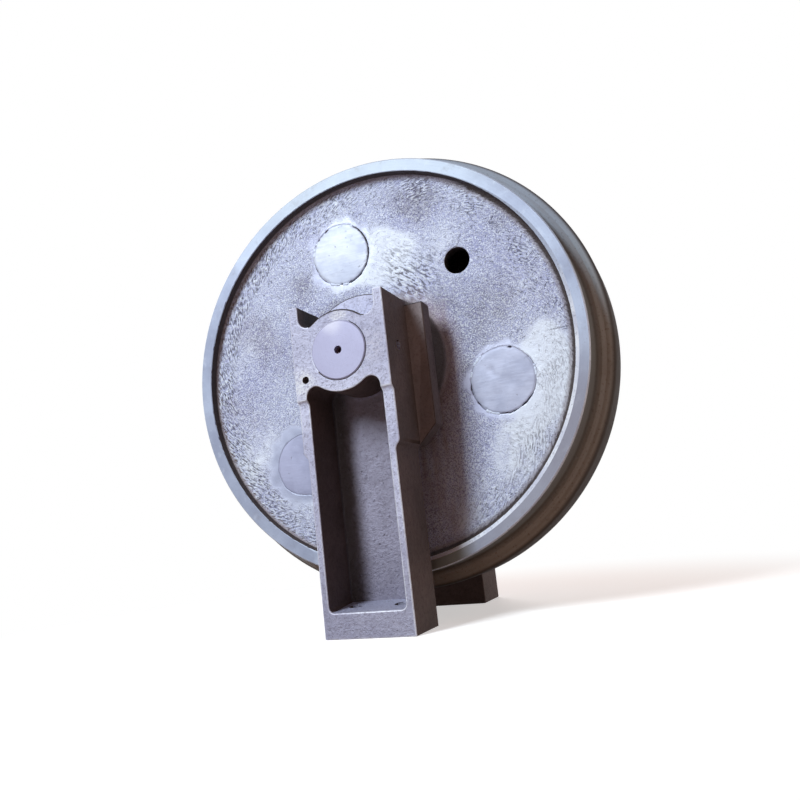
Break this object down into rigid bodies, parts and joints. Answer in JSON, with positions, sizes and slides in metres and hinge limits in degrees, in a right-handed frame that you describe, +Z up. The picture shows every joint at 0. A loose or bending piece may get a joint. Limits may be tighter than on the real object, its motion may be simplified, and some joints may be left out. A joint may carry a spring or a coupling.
{
  "type": "excavator front idler",
  "caption": "Hollow cast idler wheel with centre flange turning on a sealed shaft, carried by a cast bracket with pocketed leg and bolted foot at each end.",
  "frame": {"origin": "on the floor under the middle of the wheel, with the part standing on the feet of its brackets", "axes": "+Y along the shaft from the near bracket to the far one, +Z up from the feet to the wheel's crown, +X to the right"},
  "size_m": [0.6699, 0.401, 0.71],
  "materials": {
    "wheel_casting": "rough sand casting with a machined rim",
    "bracket_casting": "fine sand casting",
    "core_plate": "ground plate welded in",
    "shaft_steel": "turned",
    "plug_steel": "rusty",
    "pin_steel": "dark spring steel",
    "bush_bronze": "turned bronze",
    "seal_iron": "lapped",
    "seal_rubber": "moulded"
  },
  "bodies": {
    "frame": {"shaft": "shaft_steel", "oil_plug": "plug_steel", "near_bracket": "bracket_casting", "near_lock_pin": "pin_steel", "near_fixed_seal": "seal_iron", "near_fixed_toric": "seal_rubber", "near_shaft_oring": "seal_rubber", "far_bracket": "bracket_casting", "far_lock_pin": "pin_steel", "far_fixed_seal": "seal_iron", "far_fixed_toric": "seal_rubber", "far_shaft_oring": "seal_rubber"},
    "wheel": {"idler_wheel": "wheel_casting", "near_bush": "bush_bronze", "near_turning_seal": "seal_iron", "near_turning_toric": "seal_rubber", "near_core_plug_1": "core_plate", "near_core_plug_2": "core_plate", "near_core_plug_3": "core_plate", "far_bush": "bush_bronze", "far_turning_seal": "seal_iron", "far_turning_toric": "seal_rubber", "far_core_plug_1": "core_plate", "far_core_plug_2": "core_plate", "far_core_plug_3": "core_plate"}
  },
  "joints": [
    {"name": "wheel_spin", "type": "hinge", "parent": "frame", "child": "wheel", "pos_m": [0, 0, 0.375], "axis": [0, 1, 0], "continuous": true}
  ]
}
